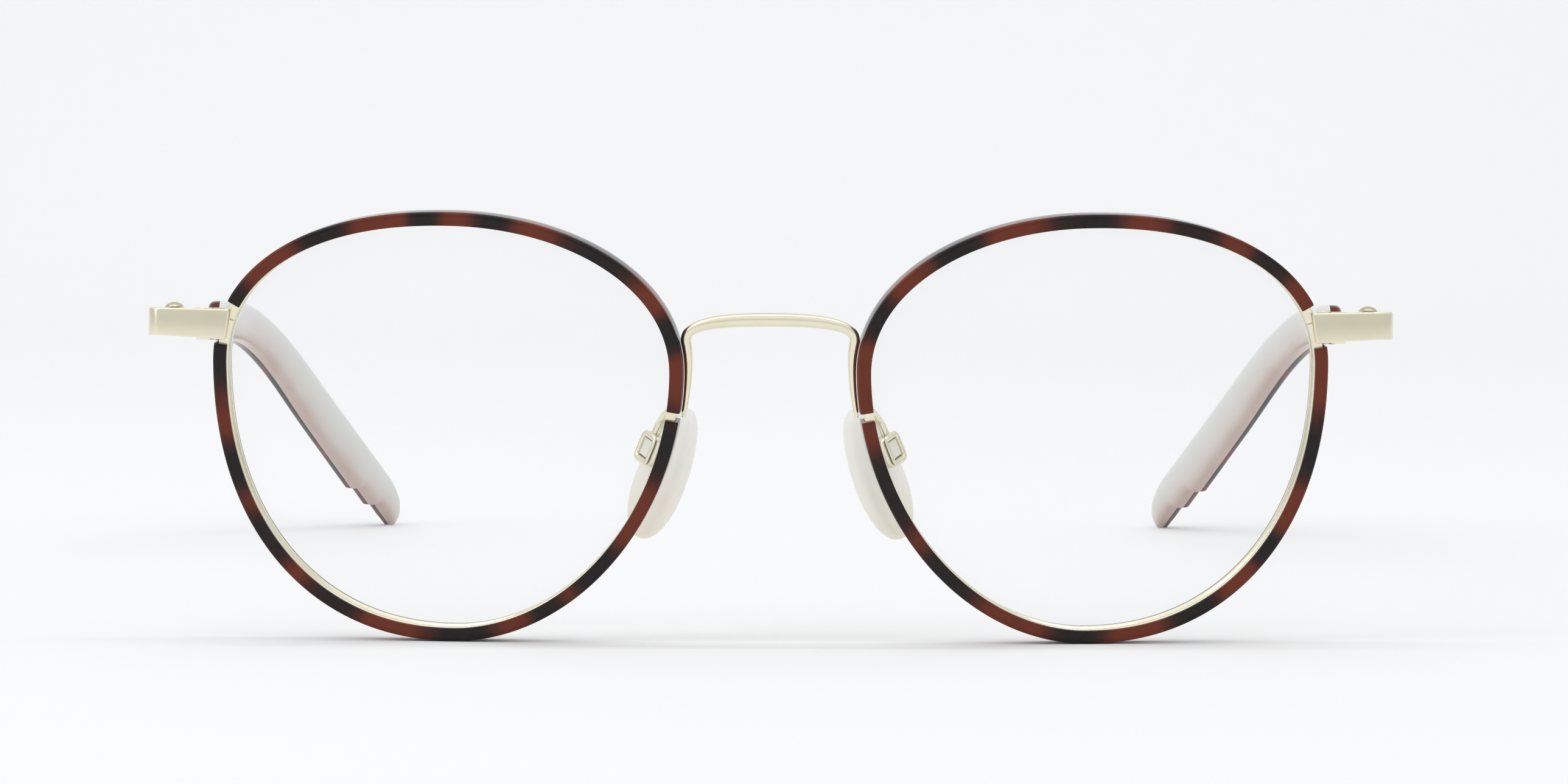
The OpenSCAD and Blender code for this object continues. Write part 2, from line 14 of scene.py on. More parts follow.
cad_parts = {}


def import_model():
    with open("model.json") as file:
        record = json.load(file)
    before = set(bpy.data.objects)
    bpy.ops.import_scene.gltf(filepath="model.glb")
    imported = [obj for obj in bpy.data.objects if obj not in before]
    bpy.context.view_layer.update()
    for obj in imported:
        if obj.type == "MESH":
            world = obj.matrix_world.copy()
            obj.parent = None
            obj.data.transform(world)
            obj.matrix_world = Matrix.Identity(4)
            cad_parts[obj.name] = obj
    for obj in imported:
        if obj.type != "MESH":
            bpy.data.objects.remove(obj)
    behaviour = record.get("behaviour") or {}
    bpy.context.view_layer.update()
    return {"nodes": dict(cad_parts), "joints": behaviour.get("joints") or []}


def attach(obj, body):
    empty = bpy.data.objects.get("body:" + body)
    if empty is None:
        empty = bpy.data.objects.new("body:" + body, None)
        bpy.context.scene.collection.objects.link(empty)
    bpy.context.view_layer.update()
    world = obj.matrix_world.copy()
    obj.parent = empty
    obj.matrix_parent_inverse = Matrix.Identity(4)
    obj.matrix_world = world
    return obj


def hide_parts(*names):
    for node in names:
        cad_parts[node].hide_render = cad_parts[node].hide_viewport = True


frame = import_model()
scene = bpy.context.scene

MM = 0.001
SIDES = ("left", "right")
joints = {j["name"]: j for j in frame["joints"]}

# ---------- Driving dimensions, as in the CAD model (millimetres) ----------

LENS_OUT, LENS_IN, LENS_UP, LENS_DOWN = 24.7, 24.4, 16.2, 29.2
SQUARENESS = {"up_out": 2.21, "up_in": 2.05, "down_out": 2.23, "down_in": 1.91}
BASE_RADIUS = 125.0
EYE_X = 34.8
WRAP = math.radians(4)
TILT = math.radians(6)
GAP = 0.04
WIRE_OUT, WIRE_DEPTH, GROOVE = 0.6, 2.0, 0.5
COVER_OUT, COVER_DEPTH, LIP_IN = 1.05, 3.0, -0.44
COVER_CORNER = 0.45      # size of the cover's rounded outer edges
INSET = 0.02             # the finer covers stay this far inside the CAD ones
SPLIT_T, SPLIT_HALF = 16.6, 0.3
COVER_TOP_T, COVER_LOW_T = 22.2, 7.2
NOSE_GAP_T, NOSE_GAP_HALF = 190.1, 0.95

SPLAY, SLOPE = math.radians(5), math.radians(2)
HINGE_Y = 8.3            # hinge axis behind the front's origin
AXIS_TO_BAND = 1.35
BAND_T, BAND_H = 1.0, 3.0
BUTT_GAP = 0.05
TEMPLE_LENGTH, TIP_START = 145.0, 78.0
TIP_DROP, DROP_START, DROP_END = 44.2, 88.0, 119.0
TIP_CURL, CURL_START, CURL_END = 40.0, 80.0, 125.0
TIP_H_MOUTH, TIP_H_END = 5.2, 6.2
TIP_OUT, TIP_IN = 1.55, 1.75
TIP_NOSE, TIP_FOOT = 6.5, 1.0    # length of the rounded end, and its height at the very end
TIP_MOUTH = 1.5          # length over which the tip's mouth is rounded
SCALLOPS = (10.0, 5.5)   # where each scallop of the tip ends, from the tip's end
SCALLOP_RUN, SCALLOP_RISE = 1.0, 0.85
CORE_H, CORE_T, CORE_STOP = 1.6, 0.84, 9.0


# ---------- Rim geometry ----------

def signed_pow(value, power):
    return math.copysign(abs(value) ** power, value)


def quarter(t):
    """Cosine and sine of the rim parameter, half width, half height and squareness there.

    The rim parameter is 0 at the temple, 90 at the top, 180 at the nose and 270 at the bottom.
    """
    c, s = math.cos(math.radians(t)), math.sin(math.radians(t))
    width, side = (LENS_OUT, "out") if c >= 0 else (LENS_IN, "in")
    height, end = (LENS_UP, "up") if s >= 0 else (LENS_DOWN, "down")
    return c, s, width, height, SQUARENESS[f"{end}_{side}"]


def edge_point(t):
    c, s, w, h, n = quarter(t)
    return np.array([w * signed_pow(c, 2 / n), h * signed_pow(s, 2 / n)])


def edge_normal(t):
    c, s, w, h, n = quarter(t)
    normal = np.array([signed_pow(c, 2 - 2 / n) / w, signed_pow(s, 2 - 2 / n) / h])
    return normal / np.linalg.norm(normal)


def sag(p):
    """How far a point of the lens lies behind the lens's middle."""
    return p @ p / (2 * BASE_RADIUS)


def rim_point(t, u, v):
    """Point beside the lens edge: u outwards from the edge, v backwards."""
    p = edge_point(t)
    q = p + u * edge_normal(t)
    return np.array([q[0], v + sag(p), q[1]])


def eye_to_front(p):
    """From the lens's own axes to the front's, which start between the two lenses."""
    c, s = math.cos(WRAP), math.sin(WRAP)
    return np.array([EYE_X + p[0] * c - p[1] * s, p[0] * s + p[1] * c, p[2]])


def tilt(p):
    c, s = math.cos(TILT), math.sin(TILT)
    return np.array([p[0], p[1] * c - p[2] * s, p[1] * s + p[2] * c])


hinge_pos = np.array(joints["left_temple_fold"]["pos_m"]) / MM
LOWEST_RIM = min(
    tilt(eye_to_front(rim_point(t, COVER_OUT, v)))[2]
    for t in np.arange(262, 280, 0.5)
    for v in (-COVER_DEPTH / 2 + COVER_CORNER, COVER_DEPTH / 2 - COVER_CORNER)
)
front_origin = np.array([0, hinge_pos[1] - HINGE_Y, -LOWEST_RIM])


def front_to_table(p):
    return tilt(p) + front_origin


def hinge_to_table(p):
    """From axes that lie along the temple, with their origin on the hinge axis."""
    x = p[0] * math.cos(SPLAY) + p[1] * math.sin(SPLAY)
    y = -p[0] * math.sin(SPLAY) + p[1] * math.cos(SPLAY)
    c, s = math.cos(SLOPE), math.sin(SLOPE)
    return hinge_pos + np.array([x, y * c + p[2] * s, -y * s + p[2] * c])


def rim_table(t, u, v):
    return front_to_table(eye_to_front(rim_point(t, u, v)))


# ---------- Temple geometry ----------

def ease(k):
    """Smooth step from 0 to 1."""
    c = min(1.0, max(0.0, k))
    return c * c * (3 - 2 * c)


def path_frame(s):
    """Forward, outward and upward direction of the temple at distance s."""
    drop = math.radians(TIP_DROP * ease((s - DROP_START) / (DROP_END - DROP_START)))
    curl = math.radians(TIP_CURL * ease((s - CURL_START) / (CURL_END - CURL_START)))
    ahead = np.array([
        -math.sin(curl) * math.cos(drop), math.cos(curl) * math.cos(drop), -math.sin(drop)])
    side = np.array([math.cos(curl), math.sin(curl), 0.0])
    return ahead, side, np.cross(side, ahead)


PATH_STEP = 0.5
path = [np.array([AXIS_TO_BAND + BAND_T / 2, BUTT_GAP, 0.0])]
for i in range(round(TEMPLE_LENGTH / PATH_STEP)):
    path.append(path[-1] + PATH_STEP * path_frame((i + 0.5) * PATH_STEP)[0])


def temple_ring(s, section):
    """A section's [outwards, up] points set across the temple at distance s."""
    _, side, up = path_frame(s)
    k = s / PATH_STEP
    i = min(int(k), len(path) - 2)
    middle = path[i] + (path[i + 1] - path[i]) * (k - i)
    return [hinge_to_table(middle + q[0] * side + q[1] * up) for q in section]


def tip_height(s):
    along = (s - TIP_START) / (TEMPLE_LENGTH - TIP_START)
    return TIP_H_MOUTH + (TIP_H_END - TIP_H_MOUTH) * along


def tip_low(s):
    """Lower edge of the tip, stepped up by the scallops near its end."""
    left = TEMPLE_LENGTH - s
    steps = sum(ease((place - left) / SCALLOP_RUN) for place in SCALLOPS)
    return -tip_height(s) / 2 + SCALLOP_RISE * steps


def tip_high(s):
    """Upper edge of the tip, which curves down to the foot at its end."""
    k = min(1.0, (TEMPLE_LENGTH - s) / TIP_NOSE)
    foot = tip_low(TEMPLE_LENGTH) + TIP_FOOT
    return foot + (tip_height(s) / 2 - foot) * math.sqrt(max(0.0, 1 - (1 - k) ** 2))


# ---------- Sections ----------

def fillet(corners, steps=4):
    """Closed outline through [x, y, size] corners, each rounded over its size."""
    outline = []
    for i, corner in enumerate(corners):
        here = np.array(corner[:2], float)
        size = corner[2]
        if size == 0:
            outline.append(here)
            continue
        before = np.array(corners[i - 1][:2], float) - here
        after = np.array(corners[(i + 1) % len(corners)][:2], float) - here
        start = here + before / np.linalg.norm(before) * size
        end = here + after / np.linalg.norm(after) * size
        for k in range(steps + 1):
            f = k / steps
            outline.append((1 - f) ** 2 * start + 2 * f * (1 - f) * here + f * f * end)
    return outline


def tube_ring(p, direction, radius, sides=24):
    """Round section at p, square to a direction."""
    d = direction / np.linalg.norm(direction)
    a = np.cross(d, [0, 1, 0.001])   # never quite along d
    a /= np.linalg.norm(a)
    b = np.cross(a, d)
    turn = (2 * math.pi * k / sides for k in range(sides))
    return [p + radius * (math.cos(w) * a + math.sin(w) * b) for w in turn]


def shrunk(ring, by):
    """The ring with every point moved towards its middle by a distance."""
    middle = np.mean(ring, axis=0)
    return [p + (middle - p) / max(np.linalg.norm(middle - p), 1e-6) * by for p in ring]


# ---------- Mesh making ----------

def build(name, body, rings, material, side, closed=False, attributes=None,
          replaces=(), sharp=35):
    """One piece from rings of millimetre points of the left side, mirrored for the right.

    closed joins the last ring to the first; otherwise both ends are capped.
    attributes gives named lists with one number for each point.
    """
    points = np.array([p for ring in rings for p in ring], float) * MM
    if side == "right":
        points[:, 0] *= -1
    n, m = len(rings[0]), len(rings)
    faces = []
    for i in range(m if closed else m - 1):
        for j in range(n):
            a, b = i * n + j, i * n + (j + 1) % n
            c, d = (i + 1) % m * n + (j + 1) % n, (i + 1) % m * n + j
            faces.append((a, b, c, d))
    if not closed:
        faces.append(tuple(range(n - 1, -1, -1)))
        faces.append(tuple((m - 1) * n + j for j in range(n)))
    mesh = bpy.data.meshes.new(name)
    mesh.from_pydata([tuple(p) for p in points], [], faces)
    if enclosed_volume(mesh) < 0:
        mesh.flip_normals()
    for polygon in mesh.polygons:
        polygon.use_smooth = True
    mesh.set_sharp_from_angle(angle=math.radians(sharp))
    for key, values in (attributes or {}).items():
        layer = mesh.attributes.new(key, "FLOAT", "POINT")
        layer.data.foreach_set("value", np.array(values, np.float32))
    mesh.materials.append(material)
    piece = bpy.data.objects.new(name, mesh)
    scene.collection.objects.link(piece)
    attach(piece, body)
    if replaces:
        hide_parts(*replaces)
    return piece


def enclosed_volume(mesh):
    """Negative if the faces point inwards."""
    mesh.calc_loop_triangles()
    co = np.array([v.co for v in mesh.vertices])
    tri = np.array([t.vertices for t in mesh.loop_triangles])
    a, b, c = co[tri[:, 0]], co[tri[:, 1]], co[tri[:, 2]]
    return np.einsum("ij,ij->i", a, np.cross(b, c)).sum() / 6


# ---------- Materials ----------

def srgb(r, g, b):
    """A colour given as it looks on screen, 0 to 255, as linear values."""
    def linear(v):
        v /= 255
        return v / 12.92 if v <= 0.04045 else ((v + 0.055) / 1.055) ** 2.4
    return (linear(r), linear(g), linear(b), 1.0)


class Nodes:
    """Short names for building one material's node tree."""

    def __init__(self, name):
        self.material = bpy.data.materials.new(name)
        self.material.use_nodes = True
        self.tree = self.material.node_tree
        self.shader = self.tree.nodes["Principled BSDF"]

    def add(self, kind, **values):
        node = self.tree.nodes.new(kind)
        for key, value in values.items():
            if key in node.inputs:
                node.inputs[key].default_value = value
            else:
                setattr(node, key, value)
        return node

    def link(self, out, into):
        self.tree.links.new(out, into)

    def set(self, **values):
        for key, value in values.items():
            self.shader.inputs[key.replace("_", " ")].default_value = value
        return self

    def paint(self, factor, stops):
        """Colours the surface by a ramp of (place, colour) stops."""
        node = self.add("ShaderNodeValToRGB")
        self.link(factor, node.inputs["Fac"])
        elements = node.color_ramp.elements
        while len(elements) < len(stops):
            elements.new(0.5)
        for element, (place, colour) in zip(elements, stops):
            element.position = place
            element.color = colour
        self.link(node.outputs["Color"], self.shader.inputs["Base Color"])

    def noise(self, scale, detail):
        place = self.add("ShaderNodeTexCoord").outputs["Object"]
        node = self.add("ShaderNodeTexNoise", Scale=scale, Detail=detail, Roughness=0.5)
        self.link(place, node.inputs["Vector"])
        return node.outputs["Fac"]

    def varied(self, value, scale, detail, amount):
        """The value with noise added to it, from -amount / 2 to amount / 2."""
        noise = self.math("SUBTRACT", self.noise(scale, detail), 0.5)
        return self.math("ADD", value, self.math("MULTIPLY", noise, amount), clamp=True)

    def attribute(self, name):
        return self.add("ShaderNodeAttribute", attribute_name=name).outputs["Fac"]

    def math(self, operation, a, b, clamp=False):
        node = self.add("ShaderNodeMath", operation=operation, use_clamp=clamp)
        for socket, value in zip(node.inputs, (a, b)):
            if isinstance(value, (int, float)):
                socket.default_value = value
            else:
                self.link(value, socket)
        return node.outputs["Value"]


def satin_metal(name, light, deep, roughness):
    """Satin plated metal: the tone and gloss drift slightly over the surface."""
    n = Nodes(name).set(Metallic=1.0)
    drift = n.noise(160.0, detail=1.0)
    n.paint(drift, [(0.25, light), (0.75, deep)])
    gloss = n.varied(roughness, 2600.0, 2.0, 0.08)
    n.link(gloss, n.shader.inputs["Roughness"])
    return n.material


def tortoise():
    """Polished acetate: dark patches where "tone" is high, blending into red brown."""
    n = Nodes("tortoise_acetate").set(
        Roughness=0.1, Specular_IOR_Level=0.22, Coat_Weight=0.05, Coat_Roughness=0.04)
    n.paint(n.varied(n.attribute("tone"), 330.0, 3.0, 0.7), [
        (0.0, srgb(104, 42, 23)), (0.35, srgb(80, 33, 21)),
        (0.65, srgb(48, 24, 18)), (1.0, srgb(22, 17, 16))])
    return n.material


def milky():
    """Pale grey-green acetate, pinkish towards the tip's lower edge."""
    n = Nodes("milky_acetate").set(
        Roughness=0.22, Specular_IOR_Level=0.4, Coat_Weight=0.2, Coat_Roughness=0.1)
    n.paint(n.varied(n.attribute("height"), 160.0, 3.0, 0.3), [
        (0.0, srgb(188, 164, 155)), (0.3, srgb(206, 196, 190)),
        (0.6, srgb(211, 211, 205)), (1.0, srgb(224, 225, 222))])
    return n.material


def silicone():
    """Milky nose pads, warmer towards the lower end."""
    n = Nodes("pad_silicone").set(
        Roughness=0.2, Specular_IOR_Level=0.5, Alpha=0.48)
    n.paint(n.varied(n.attribute("height"), 300.0, 3.0, 0.25), [
        (0.0, srgb(236, 226, 200)), (0.35, srgb(243, 238, 224)), (1.0, srgb(247, 247, 243))])
    return n.material


def plain(name, colour, **values):
    return Nodes(name).set(Base_Color=colour, **values).material


CHAMPAGNE = satin_metal("champagne_metal", srgb(240, 234, 212), srgb(232, 225, 198), 0.24)
SCREW = satin_metal("screw_steel", srgb(206, 200, 180), srgb(184, 176, 152), 0.28)
TORTOISE = tortoise()
MILKY = milky()
SILICONE = silicone()
STEM = plain("pad_plastic", srgb(232, 230, 220), Roughness=0.35)
LENS = plain("clear_lens", srgb(240, 248, 248), Roughness=0.02, Alpha=0.05)


# ---------- Rims, covers and lenses ----------

COVER_SECTION = fillet([
    (COVER_OUT - INSET, COVER_DEPTH / 2 - INSET, 0.4),
    (LIP_IN, COVER_DEPTH / 2 - INSET, 0.16),
    (LIP_IN, WIRE_DEPTH / 2 + GAP, 0),
    (WIRE_OUT + GAP, WIRE_DEPTH / 2 + GAP, 0),
    (WIRE_OUT + GAP, -WIRE_DEPTH / 2 - GAP, 0),
    (LIP_IN, -WIRE_DEPTH / 2 - GAP, 0),
    (LIP_IN, 0.08 - COVER_DEPTH / 2, 0.16),
    (0.3, INSET - COVER_DEPTH / 2, 0.3),
    (COVER_OUT - INSET, INSET - COVER_DEPTH / 2, COVER_CORNER),
], steps=6)
WIRE_SECTION = fillet([
    (WIRE_OUT, WIRE_DEPTH / 2, 0.16),
    (-GROOVE, WIRE_DEPTH / 2, 0.16),
    (-GROOVE, 0.55, 0.05),
    (0, 0, 0),
    (-GROOVE, -0.55, 0.05),
    (-GROOVE, -WIRE_DEPTH / 2, 0.16),
    (WIRE_OUT, -WIRE_DEPTH / 2, 0.16),
], steps=3)

# Middles of the dark patches along each rim, as rim parameters, and their half widths
DARK_PATCHES = {
    "right": [(24, 6), (60, 7), (86, 3), (102, 4), (132, 10), (166, 6), (197, 7), (229, 6),
              (244, 4), (267, 7), (300, 6), (322, 6), (340, 5), (364, 7)],
    "left": [(42, 6), (67, 6), (93, 7), (127, 7), (160, 7), (207, 8), (231, 7), (266, 6),
             (296, 6), (320, 4), (345, 6)],
}


def rim_tone(side, t):
    """1 in the middle of a dark patch, falling to 0 between patches."""
    return max(ease(1.25 - 0.65 * abs(t - place) / half) for place, half in DARK_PATCHES[side])


def rim_rings(section, start, end, step):
    count = math.ceil(abs(end - start) / step)
    places = [start + (end - start) * k / count for k in range(count + 1)]
    return places, [[rim_table(t, *q) for q in section] for t in places]


COVER_STEP, COVER_EDGE = 1.5, 0.05   # rim parameter between rings, and edge of the cut ends


def softened_ends(places, rings):
    """Shrinks the first and last ring, so that the cut ends have a fine edge."""
    part = 0.2
    shift = part * COVER_STEP
    places = [places[0], places[0] + shift] + places[1:-1] + [places[-1] - shift, places[-1]]
    first, last = rings[0], rings[-1]
    second = [a + (b - a) * part for a, b in zip(first, rings[1])]
    before = [a + (b - a) * part for a, b in zip(last, rings[-2])]
    ends = shrunk(first, COVER_EDGE), shrunk(last, COVER_EDGE)
    return places, [ends[0], second] + rings[1:-1] + [before, ends[1]]


def rim_cover(side, which, start, end):
    places, rings = softened_ends(*rim_rings(COVER_SECTION, start, end, COVER_STEP))
    tones = [rim_tone(side, t) for t in places for _ in COVER_SECTION]
    build(f"{side}_cover_{which}", "front", rings, TORTOISE, side,
          attributes={"tone": tones}, replaces=[f"{side}_rim_cover_{which}"])


def eyewire(side):
    _, rings = rim_rings(WIRE_SECTION, SPLIT_T + SPLIT_HALF, SPLIT_T + 360 - SPLIT_HALF, 2)
    build(f"{side}_rim_wire", "front", rings, CHAMPAGNE, side,
          replaces=[f"{side}_eyewire"])


def lens(side):
    """Curved lens, from the middle of its front over the bevel to the middle of its back."""
    half, clear = 0.9, 0.07          # half thickness, and room between lens and groove
    shoulder, bevel = -GROOVE - clear, 0.5
    angles = np.arange(0, 360, 2.5)

    def inner(k, v):
        points = (k * edge_point(t) for t in angles)
        return [front_to_table(eye_to_front([p[0], v + sag(p), p[1]])) for p in points]

    def edge(u, v):
        return [rim_table(t, u, v) for t in angles]

    inward = (0.04, 0.2, 0.4, 0.6, 0.8, 0.92)
    rings = [inner(k, -half) for k in inward]
    rings += [edge(shoulder, -half), edge(shoulder, -bevel), edge(-clear, 0)]
    rings += [edge(shoulder, bevel), edge(shoulder, half)]
    rings += [inner(k, half) for k in reversed(inward)]
    build(f"{side}_clear_lens", "front", rings, LENS, side,
          replaces=[f"{side}_lens"], sharp=30)


# ---------- Endpieces ----------

END_RIM = np.array([-6.9, -6.66])    # middle of the endpiece's end, seen from above
END_TOP, END_LOW = 1.34, -1.93       # its upper and lower edge there
CORNER_R = 1.8                       # outer radius of the bend
FRONT_DIR = math.atan2(1.37, 7.14)   # direction of the band's front leg
BAND_OUTER = AXIS_TO_BAND + BAND_T


def endpiece(side):
    """Bent band from the rim to the butt face, with a rounded upper front edge."""
    ahead = np.array([math.cos(FRONT_DIR), math.sin(FRONT_DIR)])
    normal = np.array([ahead[1], -ahead[0]])
    corner_x = BAND_OUTER - CORNER_R
    offset = normal @ END_RIM + BAND_T / 2 - CORNER_R
    corner = np.array([corner_x, (offset - normal[0] * corner_x) / normal[1]])
    middle_r = CORNER_R - BAND_T / 2
    bend_start = corner + normal * middle_r
    leg = np.linalg.norm(bend_start - END_RIM)

    def band_ring(p, out, top=BAND_H / 2, low=-BAND_H / 2, slant_top=0.0, slant_low=0.0,
                  inner_top=-BAND_T / 2, inner_low=-BAND_T / 2, edge=0.0):
        """Section at p; out points to the band's outer face, slants shift its two ends."""
        outer = BAND_T / 2 - edge
        section = fillet([
            (outer, top - edge, 0.26), (outer, low + edge, 0.16),
            (inner_low, low + edge, 0.08), (inner_top, top - edge, 0.08)], steps=4)
        along = np.array([-out[1], out[0]])
        points = []
        for across, height in section:
            k = (height - low) / (top - low)
            place = p + out * across + along * (slant_low + (slant_top - slant_low) * k)
            points.append(hinge_to_table(np.array([place[0], place[1], height])))
        return points

    # The end laps over the eyewire's front, then steps back to full thickness beside it
    lap = {"top": END_TOP, "low": END_LOW, "inner_top": 0.12, "inner_low": -0.43}
    rings = [
        band_ring(END_RIM, normal, slant_top=0.31, slant_low=0.92, edge=0.06, **lap),
        band_ring(END_RIM, normal, slant_top=0.37, slant_low=0.98, **lap),
        band_ring(END_RIM, normal, slant_top=0.54, slant_low=1.62, **lap),
        band_ring(END_RIM, normal, slant_top=0.55, slant_low=1.63, top=END_TOP, low=END_LOW)]
    legs = 12
    for k in range(1, legs + 1):
        f = 0.1 + 0.9 * k / legs
        slant = max(0.0, 1 - k / 4)
        rings.append(band_ring(
            END_RIM + ahead * leg * f, normal,
            top=END_TOP + (BAND_H / 2 - END_TOP) * f, low=END_LOW - (BAND_H / 2 + END_LOW) * f,
            slant_low=slant, slant_top=0.1 * slant))
    steps = 14
    for k in range(1, steps + 1):
        angle = FRONT_DIR - math.pi / 2 + (math.pi / 2 - FRONT_DIR) * k / steps
        out = np.array([math.cos(angle), math.sin(angle)])
        rings.append(band_ring(corner + out * middle_r, out))
    out = np.array([1.0, 0.0])
    butt = np.array([BAND_OUTER - BAND_T / 2, -GAP])
    for back, edge in ((0.08, 0), (0, 0.05)):
        rings.append(band_ring(butt - [0, back], out, edge=edge))
    build(f"{side}_end_band", "front", rings, CHAMPAGNE, side,
          replaces=[f"{side}_endpiece"])


# ---------- Bridge ----------

BRIDGE_D, BRIDGE_TOP = 1.5, 5.8      # wire thickness, and height of the arch's middle
LEG_TOP_T, ARCH_SQUARE, ARCH_FORWARD = 170.0, 2.6, 0.9
LEG_R, FOOT_R = 0.56, 0.26


def bridge():
    """Saddle arch whose two legs run down along the rim covers and get thinner."""
    def leg_point(k):
        radius = LEG_R + (FOOT_R - LEG_R) * k
        t = LEG_TOP_T + (NOSE_GAP_T - LEG_TOP_T) * k
        return eye_to_front(rim_point(t, COVER_OUT + GAP + radius, 0)), radius

    top = leg_point(0)[0]

    def arch_point(k):
        a = math.radians(90 * k)
        c, s = max(0.0, math.cos(a)), math.sin(a)
        point = np.array([
            top[0] * s ** (2 / ARCH_SQUARE) if s > 0 else 0.0,
            top[1] - ARCH_FORWARD * c ** 2,
            top[2] + (BRIDGE_TOP - top[2]) * c ** (2 / ARCH_SQUARE)])
        return point, BRIDGE_D / 2 + (LEG_R - BRIDGE_D / 2) * ease(k)

    arch_steps, leg_steps = 28, 14
    half = [arch_point(k / arch_steps) for k in range(arch_steps + 1)]
    half += [leg_point(k / leg_steps) for k in range(1, leg_steps + 1)]
    mirrored = [(p * [-1, 1, 1], r) for p, r in reversed(half[1:])]
    line = mirrored + half
    rings = []
    for i, (p, radius) in enumerate(line):
        run = line[min(i + 1, len(line) - 1)][0] - line[max(i - 1, 0)][0]
        end = i in (0, len(line) - 1)
        rings.append(tube_ring(p, run, radius * (0.7 if end else 1)))
    rings = [[front_to_table(p) for p in ring] for ring in rings]
    build("bridge_wire", "front", rings, CHAMPAGNE, "left",
          replaces=["bridge"])


# ---------- Nose pads ----------

PAD_POS = np.array([11.8, 7.6, -12.4])      # middle of the pad, in the front's axes
PAD_FRONTAL, PAD_SPLAY = math.radians(22), math.radians(33)
PAD_LENGTH, PAD_WIDTH, PAD_THICK = 15.5, 8.0, 3.0
BOX_X, BOX_Z, BOX_DEPTH = 2.95, 2.24, 1.5   # the pad box's place in the pad's axes, and depth
BOX_W, BOX_H, BOX_CORNER = 3.0, 3.6, 0.9
WINDOW_W, WINDOW_H, WINDOW_CORNER = 1.9, 2.2, 0.28


def pad_to_front(p):
    x = p[0] * math.cos(PAD_SPLAY) + p[1] * math.sin(PAD_SPLAY)
    y = -p[0] * math.sin(PAD_SPLAY) + p[1] * math.cos(PAD_SPLAY)
    c, s = math.cos(PAD_FRONTAL), math.sin(PAD_FRONTAL)
    return PAD_POS + np.array([x * c - p[2] * s, y, x * s + p[2] * c])


def pad_table(p):
    return front_to_table(pad_to_front(np.array(p, float)))


def nose_pad(side):
    """Cushion in a drop shape: rings from its box side over its edge to its face side."""
    steps, sides = 18, 48
    rings, heights = [], []
    for i in range(steps + 1):
        turn = math.pi * (i / steps - 0.5)
        flat = math.copysign(abs(math.sin(turn)) ** 0.75, math.sin(turn))
        size = max(0.16, math.cos(turn) ** 0.62)
        ring = []
        for k in range(sides):
            a = 2 * math.pi * k / sides
            y = size * PAD_WIDTH / 2 * math.cos(a) * (1 - 0.14 * math.sin(a))
            z = size * PAD_LENGTH / 2 * math.sin(a)
            ring.append(pad_table([-flat * PAD_THICK / 2, y, z]))
            heights.append(0.5 + z / PAD_LENGTH)
        rings.append(ring)
    build(f"{side}_silicone_pad", f"{side}_pad", rings, SILICONE, side,
          attributes={"height": heights}, replaces=[f"{side}_nose_pad"], sharp=60)


def pad_arm(side):
    """Wire from the rim's back, out and down into the top of the pad box."""
    root = eye_to_front(rim_point(NOSE_GAP_T, -0.1, WIRE_DEPTH / 2 + 0.02))
    end = pad_to_front(np.array([BOX_X, 0, BOX_Z + BOX_H / 2 + 0.02]))
    into = end - pad_to_front(np.array([BOX_X, 0, BOX_Z + BOX_H / 2 + 2.2]))
    control = root + np.array([0.1, 1.9, 0.2])

    def arm_point(k):
        before = end - into
        return ((1 - k) ** 3 * root + 3 * k * (1 - k) ** 2 * control
                + 3 * k * k * (1 - k) * before + k ** 3 * end)

    steps, thin, swell = 24, 0.34, 0.14
    line = [arm_point(k / steps) for k in range(steps + 1)]
    runs = [line[i + 1] - line[i - 1] for i in range(1, steps)]
    runs = [np.array([0, 1.0, 0]), *runs, into]
    rings = []
    for i, (p, run) in enumerate(zip(line, runs)):
        rings.append(tube_ring(p, run, thin + swell * ease(i / steps * 3), sides=20))
    rings = [[front_to_table(p) for p in ring] for ring in rings]
    build(f"{side}_pad_wire", "front", rings, CHAMPAGNE, side,
          replaces=[f"{side}_pad_arm"])


def pad_box(side):
    """Stamped frame with a raised, rounded rim round its window."""
    def loop(w, h, r, x):
        corners = [(w / 2, h / 2, r), (-w / 2, h / 2, r), (-w / 2, -h / 2, r), (w / 2, -h / 2, r)]
        outline = fillet(corners, steps=6)
        return [pad_table([BOX_X + x, q[0], BOX_Z + q[1]]) for q in outline]

    def wall(w, h, r, soft, back, front):
        """Four loops along a wall, whose edges are rounded by soft."""
        grown = (w + 2 * soft, h + 2 * soft, r + soft)
        turn = math.copysign(abs(soft), front - back)
        return [loop(*grown, back), loop(w, h, r, back + turn),
                loop(w, h, r, front - turn), loop(*grown, front)]

    deep, soft = BOX_DEPTH / 2, 0.16
    rings = wall(BOX_W, BOX_H, BOX_CORNER, -soft, -deep, deep)
    rings += wall(WINDOW_W, WINDOW_H, WINDOW_CORNER, soft, deep, -deep)
    build(f"{side}_pad_frame", "front", rings, CHAMPAGNE, side, closed=True,
          replaces=[f"{side}_pad_box"], sharp=50)


# ---------- Temples ----------

